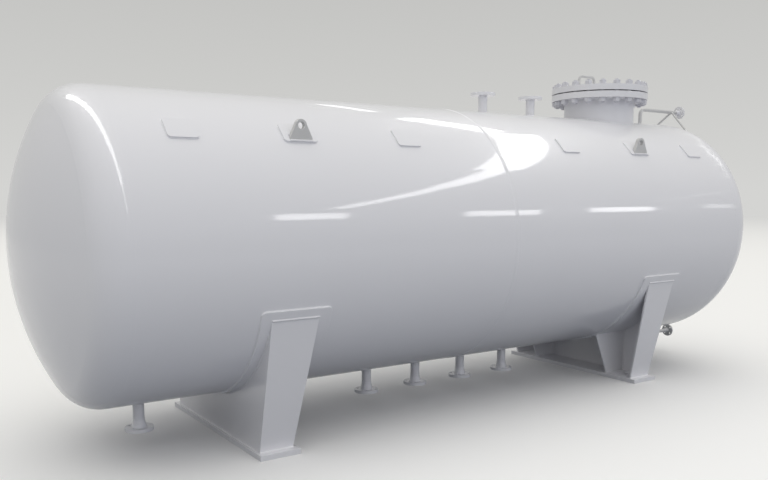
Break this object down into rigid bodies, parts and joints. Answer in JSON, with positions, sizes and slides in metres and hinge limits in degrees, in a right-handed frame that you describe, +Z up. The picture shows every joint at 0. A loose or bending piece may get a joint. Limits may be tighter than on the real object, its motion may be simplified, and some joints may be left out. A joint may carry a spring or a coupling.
{
  "type": "storage tank",
  "caption": "Horizontal white steel storage tank with dished heads on two welded saddles, with a bolted manhole, flanged nozzles, a bent vent and drain, and lifting lugs.",
  "frame": {"origin": "on the floor, under the middle of the tank", "axes": "+X along the tank towards the manhole end, +Y across it, +Z up"},
  "size_m": [5.099, 1.62, 2.193],
  "materials": {
    "white_paint": "gloss",
    "gasket": "matte",
    "fasteners": "satin"
  },
  "bodies": {
    "root": {"shell_course_left": "white_paint", "shell_course_right": "white_paint", "head_left": "white_paint", "head_right": "white_paint", "saddle_left_base": "white_paint", "saddle_left_web": "white_paint", "saddle_left_end_front": "white_paint", "saddle_left_end_back": "white_paint", "saddle_left_ribs": "white_paint", "saddle_left_wear_plate": "white_paint", "saddle_right_base": "white_paint", "saddle_right_web": "white_paint", "saddle_right_end_front": "white_paint", "saddle_right_end_back": "white_paint", "saddle_right_ribs": "white_paint", "saddle_right_wear_plate": "white_paint", "manhole_neck": "white_paint", "manhole_flange": "white_paint", "manhole_gasket": "gasket", "manhole_cover": "white_paint", "manhole_studs": "fasteners", "cover_handle": "white_paint", "top_nozzle_a_pipe": "white_paint", "top_nozzle_a_flange": "white_paint", "top_nozzle_b_pipe": "white_paint", "top_nozzle_b_flange": "white_paint", "bottom_nozzle_end": "white_paint", "bottom_nozzle_1": "white_paint", "bottom_nozzle_2": "white_paint", "bottom_nozzle_3": "white_paint", "bottom_nozzle_4": "white_paint", "bottom_nozzle_pipes": "white_paint", "vent_pipe": "white_paint", "vent_flange": "white_paint", "vent_brace_front": "white_paint", "vent_brace_back": "white_paint", "drain_pipe": "white_paint", "drain_flange": "white_paint", "lug_front_left": "white_paint", "lug_front_right": "white_paint", "lug_back_left": "white_paint", "lug_back_right": "white_paint", "lug_pad_front_left": "white_paint", "lug_pad_front_right": "white_paint", "lug_pad_back_left": "white_paint", "lug_pad_back_right": "white_paint", "plain_pads_front": "white_paint", "plain_pads_back": "white_paint"}
  },
  "joints": []
}
